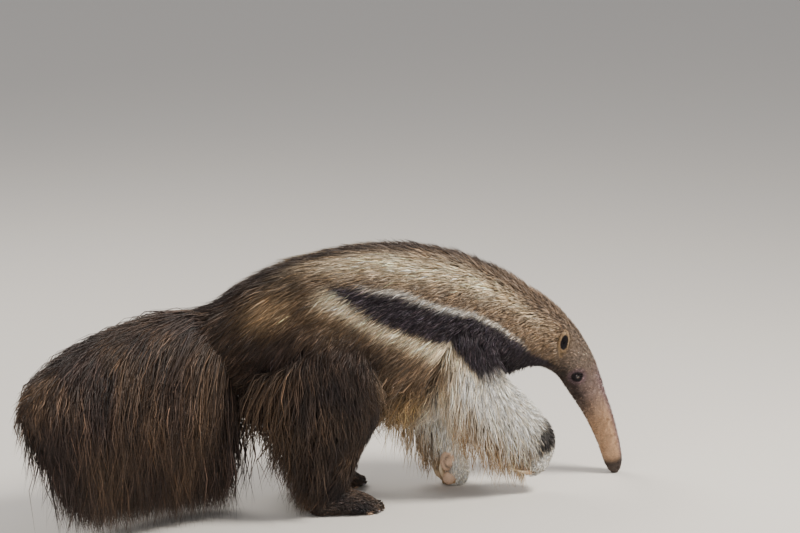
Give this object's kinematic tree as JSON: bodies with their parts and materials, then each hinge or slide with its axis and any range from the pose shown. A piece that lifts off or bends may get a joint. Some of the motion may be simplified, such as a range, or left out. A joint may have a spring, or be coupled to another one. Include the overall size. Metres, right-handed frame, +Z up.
{
  "type": "giant anteater",
  "caption": "Giant anteater, life size, standing with its long snout lowered to the ground, one forepaw lifted and its bushy tail trailing.",
  "frame": {"origin": "on the floor, under the middle of the animal's bounding box", "axes": "+X towards the snout, +Y towards the animal's left side, +Z up"},
  "size_m": [1.5746, 0.4656, 0.6224],
  "materials": {
    "coat_grizzled": "matte",
    "coat_dark": "matte",
    "coat_pale": "matte",
    "snout_skin": "matte",
    "pad_skin": "matte",
    "claw": "satin",
    "eye": "gloss"
  },
  "bodies": {
    "root": {"claw_foot_left_fifth": "claw", "claw_foot_left_first": "claw", "claw_foot_left_fourth": "claw", "claw_foot_left_second": "claw", "claw_foot_left_third": "claw", "claw_foot_right_fifth": "claw", "claw_foot_right_first": "claw", "claw_foot_right_fourth": "claw", "claw_foot_right_second": "claw", "claw_foot_right_third": "claw", "claw_hand_left_inner": "claw", "claw_hand_left_outer": "claw", "claw_hand_left_second": "claw", "claw_hand_left_third": "claw", "claw_hand_right_inner": "claw", "claw_hand_right_outer": "claw", "claw_hand_right_second": "claw", "claw_hand_right_third": "claw", "ear_left": "coat_grizzled", "ear_right": "coat_grizzled", "eye_left": "eye", "eye_right": "eye", "foot_left": "coat_dark", "foot_right": "coat_dark", "foreleg_left": "coat_pale", "foreleg_right": "coat_pale", "hand_left": "pad_skin", "hand_right": "coat_pale", "head": "coat_grizzled", "hindleg_left": "coat_dark", "hindleg_right": "coat_dark", "neck": "coat_grizzled", "snout": "snout_skin", "tail": "coat_dark", "torso": "coat_grizzled"}
  },
  "joints": []
}
